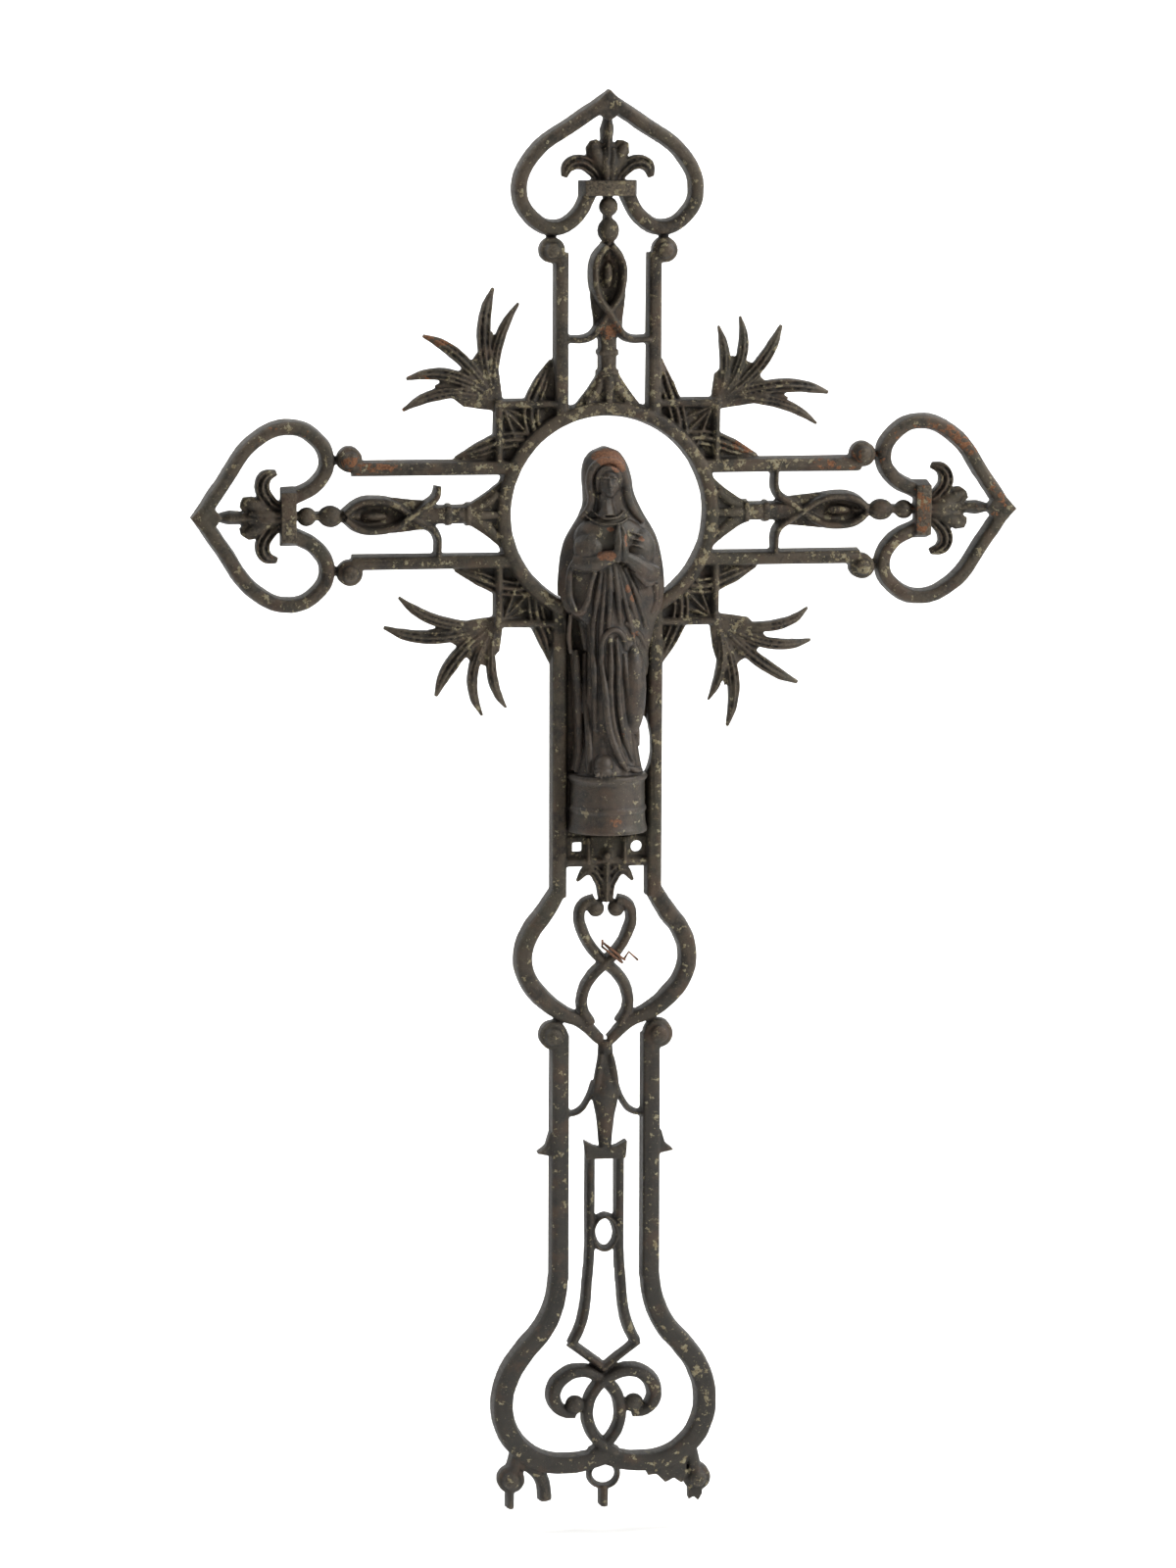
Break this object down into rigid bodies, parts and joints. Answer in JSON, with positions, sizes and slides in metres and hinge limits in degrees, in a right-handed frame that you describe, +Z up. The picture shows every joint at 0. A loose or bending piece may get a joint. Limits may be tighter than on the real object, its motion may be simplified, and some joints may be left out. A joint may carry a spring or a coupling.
{
  "type": "cast iron grave cross",
  "caption": "Openwork cast iron grave cross with pointed heart ends, fans of leaves round a ring and a praying veiled woman on a round pedestal; its feet are broken off.",
  "frame": {"origin": "the flat end of the centre pin at the foot, in the middle of its width and depth", "axes": "+Z up the cross to its top point, -Y to its front, +X to the right as it is faced"},
  "size_m": [0.723, 0.0509, 1.25],
  "materials": {
    "old_cast_iron": "weathered, flaking paint and rust",
    "figure_cast_iron": "weathered, rust",
    "rusty_wire": "rusted"
  },
  "bodies": {
    "root": {"cross": "old_cast_iron", "figure": "figure_cast_iron", "wire_tie": "rusty_wire"}
  },
  "joints": []
}
